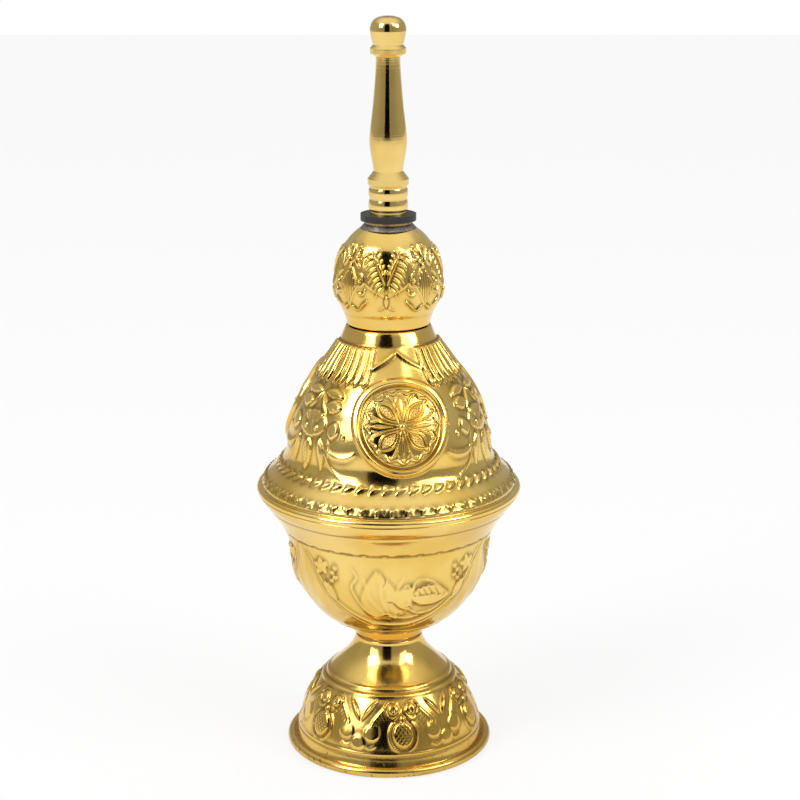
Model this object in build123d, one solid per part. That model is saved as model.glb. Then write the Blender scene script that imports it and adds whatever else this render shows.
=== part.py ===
from build123d import *
import math
import os

# Holy water sprinkler: a footed brass vessel with a stem that unscrews for filling.
# Lengths are in millimetres. The vessel's axis is +Z, its front is -Y and it stands on z = 0.
# Each outline is a list of (radius, height) pairs, read from the bottom upwards along its outer side.
# Screw threads are plain cylinders at their outside diameter.

# Sheet metal and fits
sheet = 0.7                       # thickness of the spun brass sheet
seat_gap = 0.05                   # between pieces seated or soldered against each other
thread_gap = 0.05                 # radial, in the neck thread
wire_play = 0.05                  # between a rolled edge and its wire
curl_slit = 0.2                   # where the rolled edge comes back to the wall

# Drawing values
sample_step = 1.5                 # between the points of an offset outline
same_point = 1e-4
halvings = 40                     # when a place on an outline is searched

# Foot, heights above the floor
foot_rim_radius = 36.1            # outside of the rolled edge
foot_bead_radius = 1.7            # section of the rolled edge
foot_flat_width = 1.1             # worn flat under the rolled edge
foot_curl_angle = 118             # where the curl closes, from the outward direction
foot_crease_radius = 33.0
foot_crease_height = 3.3
foot_ridge_radius = 32.1
foot_ridge_height = 7.0
foot_belly_radius = 29.1
foot_belly_height = 15.8
foot_shoulder_radius = 23.2
foot_shoulder_height = 25.0
foot_cone_radius = 17.4
foot_cone_height = 30.6
foot_throat_radius = 13.7
foot_throat_height = 34.7
foot_neck_radius = 11.7
foot_seat_height = 38.85          # floor of the dished seat that carries the bowl

# Foot fastening: a brass M5 screw with its washers and nut
screw_radius = 2.5
screw_head_radius = 4.6
screw_head_height = 2.4
screw_slot_width = 1.2
screw_slot_depth = 1.2
screw_length = 11.5
screw_hole_gap = 0.3
screw_solder_width = 1.6
screw_solder_height = 1.2
washer_radius = 6.5
washer_thickness = 1.0
lock_washer_radius = 4.4
lock_washer_thickness = 1.2
lock_washer_slit = 0.8
nut_across_flats = 8.0
nut_height = 4.0
nut_chamfer = 0.4

# Bowl, heights above its underside; an inset is measured inwards from its rim
bowl_floor_radius = 8.0
bowl_heel_radius = 15.0
bowl_heel_height = 5.0
bowl_flank_radius = 22.6
bowl_flank_height = 10.0
bowl_belly_inset = 15.6
bowl_belly_height = 18.2
bowl_wall_inset = 11.6
bowl_wall_height = 27.2
bowl_throat_inset = 10.3
bowl_throat_height = 36.0
bowl_flare_inset = 6.7
bowl_flare_height = 45.0
bowl_lip_inset = 2.9
bowl_lip_height = 50.0
bowl_rim_radius = 45.1
bowl_height = 54.2

# Dome with its flange, heights above the underside of the rolled edge.
# An inset is measured inwards from the outside of the rolled edge.
flange_overhang = 0.5             # of the rolled edge beyond the bowl's rim
flange_bead_radius = 1.2
flange_curl_angle = 112
flange_edge_inset = 2.3
flange_edge_height = 4.2
flange_slope_inset = 5.6
flange_slope_height = 7.9
flange_foot_inset = 8.6
flange_foot_height = 11.2
dome_foot_inset = 10.3
dome_foot_height = 14.6
dome_wall_inset = 11.0
dome_wall_height = 20.0
dome_belly_inset = 13.0
dome_belly_height = 27.8
dome_shoulder_inset = 17.0
dome_shoulder_height = 36.2
dome_slope_bulge = 0.3            # beyond the middle between the shoulder and the band
dome_slope_height = 44.9
band_radius = 16.0                # foot of the plain band under the bulb
band_height = 54.2
dome_neck_radius = 14.2
dome_height = 58.3

# Medallions pressed into the dome
medallion_count = 3
medallion_azimuth = 8.5           # of the first one, from the front towards +X
medallion_height = 30.6
medallion_outer_radius = 17.0
medallion_inner_radius = 13.4
medallion_relief = 1.2
medallion_root = 0.3              # how far the raised ring starts inside the sheet

# Neck bulb, heights above its seat on the dome
bulb_skirt_length = 4.0
bulb_root_radius = 14.1
bulb_root_height = 0.5
bulb_flare_radius = 15.9
bulb_flare_height = 5.6
bulb_belly_radius = 18.0
bulb_belly_height = 12.2
bulb_flank_radius = 17.3
bulb_flank_height = 19.5
bulb_shoulder_radius = 14.4
bulb_shoulder_height = 27.8
bulb_crown_radius = 11.2
bulb_crown_height = 31.5
bulb_height = 33.4

# Neck bush and rubber washer
bush_radius = 7.9
bush_above = 2.05                 # how far it stands out of the bulb
bush_length = 9.5
bush_flange_radius = 9.3
bush_flange_depth = 2.6           # underside of its flange, below the top of the bulb
neck_solder_width = 1.9
neck_solder_height = 1.1
neck_solder_toe = 1.0             # how far it runs down the bulb's crown
seal_radius = 9.35
seal_thickness = 2.2
seal_bore_gap = 0.3

# Stem ferrule, heights above the washer
spigot_radius = 5.0               # outside of the screw thread
spigot_length = 9.0               # below the ferrule's shoulder
waterway_radius = 2.6
ferrule_radius = 6.3
ferrule_bead_bulge = 0.35
ferrule_beads = [(0.9, 4.9), (5.4, 8.8)]
collar_radius = 6.9
collar_bottom = 9.9
collar_top = 11.7
ferrule_top_radius = 4.9
ferrule_height = 14.3

# Baluster tube, heights above the ferrule
tenon_radius = 3.9                # plug at its lower end, soldered in the ferrule
tenon_length = 6.0
tube_ankle_radius = 5.5
tube_ankle_height = 3.9
tube_belly_radius = 6.2
tube_belly_height = 8.6
tube_calf_radius = 5.6
tube_calf_height = 17.2
tube_waist_radius = 4.55
tube_waist_height = 27.6
tube_top_radius = 4.0
tube_height = 37.4

# Spray head, heights above the tube
head_tenon_radius = 3.3           # plug at the upper end of the tube
head_tenon_length = 4.0
head_ring_radius = 5.95
head_ring_bottom = 1.2
head_ring_top = 2.9
head_neck_radius = 4.97
head_neck_height = 4.0
ball_radius = 5.95
ball_height = 8.4                 # its widest line
ball_cheek_radius = 5.6
ball_cheek_height = 6.3
plate_radius = 2.0
plate_thickness = 0.8
plate_ledge = 0.5
crown_rim = 0.5                   # width of the ball's rim around the plate
crown_drop = 0.15                 # how far the rim lies under the plate's face
head_drill_height = 10.0
head_height = 13.15
spray_hole_radius = 0.3
spray_hole_count = 6
spray_circle_radius = 1.2

# Levels of the stacked pieces above the floor
bowl_base = foot_seat_height + seat_gap
dome_base = bowl_base + bowl_height + seat_gap
bulb_base = dome_base + dome_height + seat_gap
bush_top = bulb_base + bulb_height + bush_above
ferrule_base = bush_top + seal_thickness
tube_base = ferrule_base + ferrule_height
head_base = tube_base + tube_height


# Helpers for turned and spun shapes
stand = (Align.CENTER, Align.CENTER, Align.MIN)
hang = (Align.CENTER, Align.CENTER, Align.MAX)


def lift(points, level):
    return [(radius, height + level) for radius, height in points]


def offset_points(curve, distance, count):
    # Points beside the curve, towards the axis where the curve rises
    points = []
    for step in range(count + 1):
        place = curve @ (step / count)
        along = curve % (step / count)
        points.append((place.X - along.Y * distance, place.Y + along.X * distance))
    return points


def straight(*points):
    # Straight lines through the points, leaving out repeated ones
    pairs = zip(points, points[1:])
    kept = [point for point, following in pairs if math.dist(point, following) > same_point]
    return [Polyline(*kept, points[-1])] if kept else []


def inside(curves, growth=0.0):
    # Section of everything between the axis and the curves, grown or shrunk square to them.
    # A shrunk section runs past both ends, so that taking it away leaves an open sheet.
    overrun = max(-growth, 0)
    lines, ends = [], []
    for curve in curves:
        points = offset_points(curve, -growth, max(round(curve.length / sample_step), 1))
        if ends:
            lines += straight(ends[-1], points[0])
        lines.append(Spline(*points) if len(points) > 2 else Line(*points))
        ends += [points[0], points[-1]]
    start, end = curves[0] % 0, curves[-1] % 1
    low = (ends[0][0] - start.X * overrun, ends[0][1] - start.Y * overrun)
    high = (ends[-1][0] + end.X * overrun, ends[-1][1] + end.Y * overrun)
    lines += straight(ends[-1], high, (0, high[1]), (0, low[1]), low, ends[0])
    return make_face(lines)


def sheet_along(curves):
    return inside(curves) - inside(curves, -sheet)


def turned(section):
    return revolve(Plane.XZ * section, Axis.Z)


def band(inner, outer, bottom, top):
    return Pos((inner + outer) / 2, (bottom + top) / 2) * Rectangle(outer - inner, top - bottom)


def ring(inner, outer, bottom, top):
    return turned(band(inner, outer, bottom, top))


def rolled_edge(radius, bead, height, slit_angle):
    # Section of a sheet edge rolled outwards and up around a wire
    slit = Rot(0, 0, slit_angle) * Pos(bead - sheet / 2, 0) * Rectangle(2 * sheet, curl_slit)
    return Pos(radius - bead, height) * (Circle(bead) - Circle(bead - sheet) - slit)


def rim_wire(radius, bead, height):
    return turned(Pos(radius - bead, height) * Circle(bead - sheet - wire_play))


def place_at_height(curve, height):
    # Parameter where a rising curve passes the height
    low, high = 0.0, 1.0
    for _ in range(halvings):
        middle = (low + high) / 2
        if (curve @ middle).Y < height:
            low = middle
        else:
            high = middle
    return low


# Outlines that more than one piece follows
flange_radius = bowl_rim_radius + flange_overhang
dome_slope_radius = (flange_radius - dome_shoulder_inset + band_radius) / 2 + dome_slope_bulge
foot_bead_height = math.sqrt(foot_bead_radius ** 2 - (foot_flat_width / 2) ** 2)
foot_line = Spline(
    (foot_rim_radius - 2 * foot_bead_radius + sheet, foot_bead_height),
    (foot_crease_radius, foot_crease_height),
    (foot_ridge_radius, foot_ridge_height),
    (foot_belly_radius, foot_belly_height),
    (foot_shoulder_radius, foot_shoulder_height),
    (foot_cone_radius, foot_cone_height),
    (foot_throat_radius, foot_throat_height),
    (foot_neck_radius, foot_seat_height),
    tangents=[(0, 1), (-0.3, 1)],
)
bowl_line = Spline(
    *lift([
        (bowl_floor_radius, 0),
        (bowl_heel_radius, bowl_heel_height),
        (bowl_flank_radius, bowl_flank_height),
        (bowl_rim_radius - bowl_belly_inset, bowl_belly_height),
        (bowl_rim_radius - bowl_wall_inset, bowl_wall_height),
        (bowl_rim_radius - bowl_throat_inset, bowl_throat_height),
        (bowl_rim_radius - bowl_flare_inset, bowl_flare_height),
        (bowl_rim_radius - bowl_lip_inset, bowl_lip_height),
        (bowl_rim_radius, bowl_height),
    ], bowl_base),
    tangents=[(1, 0), (0.4, 1)],
)
dome_line = Spline(*lift([
    (flange_radius - 2 * flange_bead_radius + sheet, flange_bead_radius),
    (flange_radius - flange_edge_inset, flange_edge_height),
    (flange_radius - flange_slope_inset, flange_slope_height),
    (flange_radius - flange_foot_inset, flange_foot_height),
    (flange_radius - dome_foot_inset, dome_foot_height),
    (flange_radius - dome_wall_inset, dome_wall_height),
    (flange_radius - dome_belly_inset, dome_belly_height),
    (flange_radius - dome_shoulder_inset, dome_shoulder_height),
    (dome_slope_radius, dome_slope_height),
    (band_radius, band_height),
], dome_base))
band_line = Line(*lift([(band_radius, band_height), (dome_neck_radius, dome_height)], dome_base))
dome_lines = [dome_line, band_line]
bulb_line = Spline(
    *lift([
        (bulb_root_radius, bulb_root_height),
        (bulb_flare_radius, bulb_flare_height),
        (bulb_belly_radius, bulb_belly_height),
        (bulb_flank_radius, bulb_flank_height),
        (bulb_shoulder_radius, bulb_shoulder_height),
        (bulb_crown_radius, bulb_crown_height),
        (bush_radius + seat_gap, bulb_height),
    ], bulb_base),
    tangents=[(0.1, 1), (-1, 0.25)],
)
skirt_radius = dome_neck_radius - sheet - 2 * seat_gap
screw_hole_radius = screw_radius + screw_hole_gap
bore_radius = spigot_radius + thread_gap


def foot_shell():
    bowl_seat = inside([bowl_line], seat_gap)
    dish = inside([bowl_line], seat_gap + sheet) & band(0, foot_neck_radius, 0, dome_base)
    neck_top = bowl_base + bowl_heel_height
    neck = band(foot_neck_radius - sheet, foot_neck_radius, foot_seat_height - sheet, neck_top)
    edge = rolled_edge(foot_rim_radius, foot_bead_radius, foot_bead_height, foot_curl_angle)
    hole = band(0, screw_hole_radius, 0, dome_base)
    below_floor = band(0, 2 * foot_rim_radius, -foot_rim_radius, 0)
    return turned(sheet_along([foot_line]) + neck + dish + edge - bowl_seat - hole - below_floor)


def foot_rim_wire():
    return rim_wire(foot_rim_radius, foot_bead_radius, foot_bead_height)


def bowl_shell():
    below_rim = band(0, 2 * bowl_rim_radius, 0, bowl_base + bowl_height)
    return turned((sheet_along([bowl_line]) & below_rim) - band(0, screw_hole_radius, 0, dome_base))


def foot_screw():
    seat = bowl_base + sheet
    head = Pos(0, 0, seat) * Cylinder(screw_head_radius, screw_head_height, align=stand)
    head = fillet(head.edges().group_by(Axis.Z)[-1], screw_head_height / 2)
    slot = Box(2 * screw_head_radius, screw_slot_width, 2 * screw_slot_depth)
    slot = Pos(0, 0, seat + screw_head_height) * slot
    shank = Pos(0, 0, seat) * Cylinder(screw_radius, screw_length, align=hang)
    return head - slot + chamfer(shank.edges().group_by(Axis.Z)[0], nut_chamfer)


def screw_solder():
    seat = bowl_base + sheet
    root = screw_head_radius + seat_gap
    return turned(make_face(Polyline(
        (root, seat), (root + screw_solder_width, seat), (root, seat + screw_solder_height), close=True)))


washer_top = bowl_base - seat_gap - sheet
lock_washer_top = washer_top - washer_thickness
nut_top = lock_washer_top - lock_washer_thickness


def foot_washer():
    return ring(screw_hole_radius, washer_radius, lock_washer_top, washer_top)


def foot_lock_washer():
    washer = ring(screw_hole_radius, lock_washer_radius, nut_top, lock_washer_top)
    slit = Box(2 * lock_washer_radius, lock_washer_slit, lock_washer_thickness, align=stand)
    return washer - Pos(lock_washer_radius, 0, nut_top) * slit


def foot_nut():
    prism = extrude(RegularPolygon(nut_across_flats / 2, 6, major_radius=False), nut_height)
    corner = nut_across_flats / math.sqrt(3)
    blank = chamfer(Cylinder(corner, nut_height, align=stand).edges(), nut_chamfer)
    bore = Cylinder(screw_radius + thread_gap, nut_height, align=stand)
    return Pos(0, 0, nut_top - nut_height) * ((prism & blank) - bore)


def medallion_ring(turn):
    # Raised ring that follows the dome, cut from a thicker skin by a tube square to the sheet
    skin = turned(inside([dome_line], medallion_relief) - inside([dome_line], -medallion_root))
    place = place_at_height(dome_line, dome_base + medallion_height)
    centre, along = dome_line @ place, dome_line % place
    square = Plane(origin=(centre.X, 0, centre.Y), z_dir=(along.Y, 0, -along.X))
    depth = medallion_outer_radius
    tube = Cylinder(medallion_outer_radius, 2 * depth) - Cylinder(medallion_inner_radius, 2 * depth)
    return Rot(0, 0, turn - 90) * (skin & (square * tube))


def dome_shell():
    edge = rolled_edge(flange_radius, flange_bead_radius, dome_base + flange_bead_radius, flange_curl_angle)
    below_neck = band(0, 2 * flange_radius, 0, dome_base + dome_height)
    opening = band(0, skirt_radius + seat_gap, 0, bulb_base)
    dome = turned(((sheet_along(dome_lines) & below_neck) - opening) + edge)
    for count in range(medallion_count):
        dome += medallion_ring(medallion_azimuth + count * 360 / medallion_count)
    return dome


def flange_rim_wire():
    return rim_wire(flange_radius, flange_bead_radius, dome_base + flange_bead_radius)


def rim_solder():
    # Fills the corner between the bowl's lip and the underside of the rolled edge
    bead = Pos(flange_radius - flange_bead_radius, dome_base + flange_bead_radius)
    drop = Pos(flange_radius - 2 * flange_bead_radius, dome_base - seat_gap) * Circle(flange_bead_radius)
    inner_wall = inside([bowl_line], -sheet - seat_gap)
    return turned((drop & inner_wall) - bead * Circle(flange_bead_radius + seat_gap))


def waist_solder():
    # Fills the lap between the bulb's skirt and the dome's neck
    lap = band(skirt_radius + seat_gap, dome_neck_radius, bulb_base - bulb_skirt_length, bulb_base - sheet)
    return turned(lap & inside(dome_lines, -sheet - seat_gap))


def neck_bulb():
    skirt = band(skirt_radius - sheet, skirt_radius, bulb_base - bulb_skirt_length, bulb_base + sheet)
    ledge = band(skirt_radius - sheet, bulb_root_radius, bulb_base, bulb_base + sheet)
    opening = band(0, bush_radius + seat_gap, bulb_base, bush_top)
    return turned(sheet_along([bulb_line]) + skirt + ledge - opening)


def neck_bush():
    crown = bulb_base + bulb_height
    tube = band(bore_radius, bush_radius, bush_top - bush_length, bush_top)
    flange = band(bore_radius, bush_flange_radius, crown - bush_flange_depth, crown)
    return turned(tube + (flange & inside([bulb_line], -sheet - seat_gap)))


def neck_solder():
    crown = bulb_base + bulb_height
    root = bush_radius + seat_gap
    fillet_section = make_face(Polyline(
        (root, crown + neck_solder_height), (root, crown - neck_solder_toe),
        (root + neck_solder_width, crown - neck_solder_toe), close=True))
    return turned(fillet_section - inside([bulb_line], seat_gap))


def seal_washer():
    return ring(spigot_radius + seal_bore_gap, seal_radius, bush_top, ferrule_base)


def stem_ferrule():
    section = band(waterway_radius, spigot_radius, -spigot_length, 0)
    section += band(waterway_radius, ferrule_radius, 0, collar_bottom)
    for bottom, top in ferrule_beads:
        crest = (ferrule_radius + ferrule_bead_bulge, (bottom + top) / 2)
        bead = ThreePointArc((ferrule_radius, bottom), crest, (ferrule_radius, top))
        section += make_face([bead, Line(bead @ 1, bead @ 0)])
    under_collar = collar_bottom - (collar_radius - ferrule_radius)
    section += make_face(Polyline(
        (waterway_radius, under_collar),
        (ferrule_radius, under_collar),
        (collar_radius, collar_bottom),
        (collar_radius, collar_top),
        (ferrule_top_radius, ferrule_height),
        (waterway_radius, ferrule_height),
        close=True,
    ))
    section -= band(0, tenon_radius + seat_gap, ferrule_height - tenon_length - seat_gap, ferrule_height)
    return Pos(0, 0, ferrule_base) * turned(section)


def stem_tube():
    outline = Spline(
        (ferrule_top_radius, 0),
        (tube_ankle_radius, tube_ankle_height),
        (tube_belly_radius, tube_belly_height),
        (tube_calf_radius, tube_calf_height),
        (tube_waist_radius, tube_waist_height),
        (tube_top_radius, tube_height),
    )
    tenon = band(waterway_radius, tenon_radius, -tenon_length, 0)
    head_tenon = band(waterway_radius, head_tenon_radius, tube_height, tube_height + head_tenon_length)
    body = inside([outline]) - band(0, waterway_radius, 0, tube_height)
    return Pos(0, 0, tube_base) * turned(tenon + body + head_tenon)


def spray_head():
    crown_radius = plate_radius + crown_rim
    crown_height = head_height - crown_drop
    neck = (head_neck_radius, head_neck_height)
    widest = (ball_radius, ball_height)
    foot = Polyline(
        (0, 0),
        (tube_top_radius, 0),
        (head_ring_radius, head_ring_bottom),
        (head_ring_radius, head_ring_top),
        neck,
    )
    cheek = ThreePointArc(neck, (ball_cheek_radius, ball_cheek_height), widest)
    dome = Spline(widest, (crown_radius, crown_height), tangents=[(0, 1), (-1, 0.2)])
    top = Polyline((crown_radius, crown_height), (0, crown_height), (0, 0))
    drill = head_tenon_radius + seat_gap
    throat = plate_radius - plate_ledge
    plate_seat = head_height - plate_thickness
    bore = make_face(Polyline(
        (0, 0),
        (drill, 0),
        (drill, head_drill_height),
        (throat, plate_seat - plate_ledge),
        (throat, plate_seat),
        (plate_radius + seat_gap, plate_seat),
        (plate_radius + seat_gap, head_height),
        (0, head_height),
        close=True,
    ))
    return Pos(0, 0, head_base) * turned(make_face([foot, cheek, dome, top]) - bore)


def spray_plate():
    seat = head_base + head_height - plate_thickness
    plate = Cylinder(plate_radius, plate_thickness, align=stand)
    hole = Cylinder(spray_hole_radius, plate_thickness, align=stand)
    plate -= hole
    for count in range(spray_hole_count):
        plate -= Rot(0, 0, count * 360 / spray_hole_count) * Pos(spray_circle_radius, 0) * hole
    return Pos(0, 0, seat) * plate


pieces = [
    foot_shell, foot_rim_wire, foot_screw, screw_solder, foot_washer, foot_lock_washer, foot_nut,
    bowl_shell, rim_solder, dome_shell, flange_rim_wire, waist_solder,
    neck_bulb, neck_bush, neck_solder, seal_washer,
    stem_ferrule, stem_tube, spray_head, spray_plate,
]
os.makedirs("parts", exist_ok=True)
for piece in pieces:
    export_step(Compound(children=list(piece().solids())), f"parts/{piece.__name__}.step")
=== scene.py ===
import math

import bpy
import numpy as np
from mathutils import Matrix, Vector


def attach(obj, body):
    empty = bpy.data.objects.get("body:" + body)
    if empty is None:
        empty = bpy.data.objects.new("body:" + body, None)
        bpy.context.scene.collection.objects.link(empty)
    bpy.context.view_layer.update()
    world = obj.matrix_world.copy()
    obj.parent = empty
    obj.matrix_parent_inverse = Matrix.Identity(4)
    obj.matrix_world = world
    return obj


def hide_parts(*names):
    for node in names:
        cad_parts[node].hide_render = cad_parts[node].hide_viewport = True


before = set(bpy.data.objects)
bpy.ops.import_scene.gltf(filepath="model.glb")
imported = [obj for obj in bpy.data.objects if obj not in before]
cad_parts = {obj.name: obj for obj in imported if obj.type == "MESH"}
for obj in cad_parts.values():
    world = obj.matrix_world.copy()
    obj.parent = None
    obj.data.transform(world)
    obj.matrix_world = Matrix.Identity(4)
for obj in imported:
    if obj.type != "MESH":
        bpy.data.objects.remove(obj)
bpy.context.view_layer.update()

# Gilt brass holy water sprinkler. Outlines and reliefs are worked out in millimetres,
# heights from the floor, azimuth 0 at the front (-Y) and growing towards +X.
mm = 0.001
cadNodes = dict(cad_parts)


# Curves and reliefs

def smoothLine(points, firstWay=None, lastWay=None, steps=24):
    # cubic through (radius, height) points, bent as little as it can be
    p = np.array(points, float)
    chord = np.hypot(*np.diff(p, axis=0).T)
    count = len(p)
    system, wanted = np.zeros((count, count)), np.zeros((count, 2))
    for i in range(1, count - 1):
        before, after = chord[i - 1], chord[i]
        system[i, i - 1:i + 2] = after, 2 * (before + after), before
        wanted[i] = 3 * (after * (p[i] - p[i - 1]) / before + before * (p[i + 1] - p[i]) / after)
    for end, beside, way in ((0, 1, firstWay), (count - 1, count - 2, lastWay)):
        system[end, end] = 1 if way else 2
        system[end, beside] = 0 if way else 1
        run = (p[1] - p[0]) / chord[0] if end == 0 else (p[-1] - p[-2]) / chord[-1]
        wanted[end] = np.array(way) / math.hypot(*way) if way else 3 * run
    slope = np.linalg.solve(system, wanted)
    line = [p[0]]
    for i in range(count - 1):
        for t in np.linspace(0, 1, steps + 1)[1:]:
            a, b = 2 * t ** 3 - 3 * t ** 2 + 1, t ** 3 - 2 * t ** 2 + t
            c, d = 3 * t ** 2 - 2 * t ** 3, t ** 3 - t ** 2
            line.append(a * p[i] + b * chord[i] * slope[i] + c * p[i + 1] + d * chord[i] * slope[i + 1])
    return np.array(line)


def arcLine(centre, radius, fromAngle, toAngle, steps=24):
    angles = np.radians(np.linspace(fromAngle, toAngle, steps + 1))
    return np.c_[centre[0] + radius * np.cos(angles), centre[1] + radius * np.sin(angles)]


def evenly(line, step):
    # the same line with points a step apart
    run = np.r_[0, np.cumsum(np.hypot(*np.diff(line, axis=0).T))]
    places = np.linspace(0, run[-1], max(int(round(run[-1] / step)), 2) + 1)
    return np.c_[np.interp(places, run, line[:, 0]), np.interp(places, run, line[:, 1])]


def outwards(line):
    way = np.gradient(line, axis=0)
    way /= np.maximum(np.hypot(way[:, 0], way[:, 1]), 1e-9)[:, None]
    return np.c_[way[:, 1], -way[:, 0]]


def bend(*points, steps=7):
    # flowing chain of short straight bits through a few points
    p = [points[0], *points, points[-1]]
    chain = [points[0]]
    for a, b, c, d in zip(p, p[1:], p[2:], p[3:]):
        a, b, c, d = (np.array(q, float) for q in (a, b, c, d))
        for t in np.linspace(0, 1, steps + 1)[1:]:
            chain.append(0.5 * (2 * b + (c - a) * t + (2 * a - 5 * b + 4 * c - d) * t ** 2
                                + (3 * b - a - 3 * c + d) * t ** 3))
    return chain


def fold(angle, period):
    return (angle + period / 2) % period - period / 2


def smooth(t):
    t = np.clip(t, 0, 1)
    return t * t * (3 - 2 * t)


def stroke(x, y, chain, width, height, taper=0.5):
    # raised (or, with a negative height, cut) line with a round section that thins towards its ends
    best = np.full(x.shape, 1e9)
    place = np.zeros(x.shape)
    for i, ((ax, ay), (bx, by)) in enumerate(zip(chain[:-1], chain[1:])):
        dx, dy = bx - ax, by - ay
        t = np.clip(((x - ax) * dx + (y - ay) * dy) / max(dx * dx + dy * dy, 1e-9), 0, 1)
        off = np.hypot(x - ax - t * dx, y - ay - t * dy)
        place = np.where(off < best, (i + t) / (len(chain) - 1), place)
        best = np.minimum(best, off)
    thin = np.maximum(np.sin(np.pi * np.clip(place, 0.02, 0.98)), 0.05) ** taper
    return height * thin * np.exp(-(best / (width / 2 * (0.35 + 0.65 * thin))) ** 2)


def leafSpace(x, y, root, tip, width, sag=0.0, belly=0.45):
    # how deep a point lies inside a leaf, its place from root to tip, and its side of the midrib
    length = math.dist(root, tip)
    ux, uy = (tip[0] - root[0]) / length, (tip[1] - root[1]) / length
    along = ((x - root[0]) * ux + (y - root[1]) * uy) / length
    side = (y - root[1]) * ux - (x - root[0]) * uy - sag * 4 * along * (1 - along)
    t = np.clip(along, 0, 1)
    half = width / 2 * np.sin(np.pi * t ** (math.log(0.5) / math.log(belly))) ** 0.8
    past = np.maximum(np.abs(along - 0.5) - 0.5, 0) * length
    return half - np.abs(side) - past, along, side


def leaf(x, y, root, tip, width, height, sag=0.0, belly=0.45, rib=0.0, veins=0.0, edge=0.9):
    inside, along, side = leafSpace(x, y, root, tip, width, sag, belly)
    body = smooth(inside / edge)
    form = height * body
    if rib:
        form += rib * body * np.exp(-(side / 0.38) ** 2)
    if veins:
        reach = along * math.dist(root, tip) - 0.9 * np.abs(side)
        form += veins * smooth(inside / 0.5) * np.cos(2 * np.pi * reach / 1.25)
    return form


def pellet(x, y, centre, radius, height):
    off = np.hypot(x - centre[0], y - centre[1]) / radius
    return height * np.sqrt(np.clip(1 - off * off, 0, 1))


def disc(x, y, centre, radiusX, radiusY, edge=0.8):
    off = np.hypot((x - centre[0]) / radiusX, (y - centre[1]) / radiusY)
    return smooth((1 - off) * min(radiusX, radiusY) / edge)


def ridgeAt(y, level, width, height):
    return height * np.exp(-((y - level) / (width / 2)) ** 2)


def stipple(x, y, pitch, depth):
    # punched ground: rows of small dots, never quite in line
    warpX = x + 0.22 * pitch * np.sin(2.1 * y / pitch + 1.3)
    warpY = y + 0.22 * pitch * np.sin(1.7 * x / pitch + 0.4)
    dots = np.cos(2 * np.pi * warpX / pitch) * np.cos(2 * np.pi * warpY / (pitch * 1.1))
    return depth * np.clip(dots, -0.25, 1)


def unevenness(azimuth, run, seed, size):
    # slow hand-made waviness of thin sheet, the same in each run
    dice = np.random.default_rng(seed)
    field = np.zeros(np.broadcast(azimuth, run).shape)
    for _ in range(14):
        turns, climb, start = dice.integers(2, 15), dice.uniform(0.08, 0.5), dice.uniform(0, 6.28)
        field += np.sin(np.radians(azimuth) * turns + climb * run * dice.choice([-1, 1]) + start)
    return size * field / 14 ** 0.5


class Skin:
    # A turned sheet as a grid: rows climb the outline, columns go round
    def __init__(self, line, step, columns):
        self.line = evenly(line, step)
        self.way = outwards(self.line)
        self.radius, self.height = self.line[:, 0][:, None], self.line[:, 1][:, None]
        self.run = np.r_[0, np.cumsum(np.hypot(*np.diff(self.line, axis=0).T))][:, None]
        self.azimuth = np.linspace(0, 360, columns, endpoint=False)[None, :]
        self.relief = np.zeros((len(self.line), columns))

    def runAt(self, height):
        return float(np.interp(height, np.maximum.accumulate(self.height[:, 0]), self.run[:, 0]))

    def near(self, azimuth, height, period=360):
        # millimetres to the right and up from a place on the skin
        turn = fold(self.azimuth - azimuth, period)
        return np.radians(turn) * self.radius, self.run - self.runAt(height) + 0 * turn, turn

    def between(self, low, high, edge=1.2):
        # 1 between two heights, fading at both
        a, b = self.runAt(low), self.runAt(high)
        return smooth((self.run - a) / edge) * smooth((b - self.run) / edge)


def hollows(relief, passes=7, wraps=True):
    # 1 where the relief lies lower than what is round it: painted shade goes there
    soft = relief.copy()
    for _ in range(passes):
        left, right = np.roll(soft, 1, 1), np.roll(soft, -1, 1)
        soft = (left + 2 * soft + right) / 4
        padded = np.pad(soft, ((1, 1), (0, 0)), mode="edge")
        soft = (padded[:-2] + 2 * soft + padded[2:]) / 4
    return np.clip((soft - relief) / 0.16, 0, 1)


def gridQuads(rows, columns, closed):
    last = rows if closed else rows - 1
    low = np.arange(last)[:, None] * columns
    high = (np.arange(last) + 1) % rows
    high = high[:, None] * columns
    here, there = np.arange(columns)[None, :], (np.arange(columns) + 1) % columns
    return np.stack([low + here, low + there, high + there, high + here], axis=-1).reshape(-1, 4)


def meshPiece(name, points, quads, patina=None):
    mesh = bpy.data.meshes.new(name)
    mesh.from_pydata((points * mm).tolist(), [], quads.tolist())
    mesh.polygons.foreach_set("use_smooth", np.ones(len(mesh.polygons), bool))
    # per-point painted shade for the hollows, stored as an attribute that the gold reads
    values = np.zeros(len(points)) if patina is None else patina
    mesh.attributes.new("patina", "FLOAT", "POINT").data.foreach_set("value", values.astype(np.float32))
    mesh.update()
    piece = bpy.data.objects.new(name, mesh)
    bpy.context.scene.collection.objects.link(piece)
    return piece


def spin(line, azimuth):
    angles = np.radians(azimuth)
    radius, height = line[..., 0], line[..., 1]
    return np.stack([radius * np.sin(angles), -radius * np.cos(angles), height + 0 * angles], axis=-1)


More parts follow.
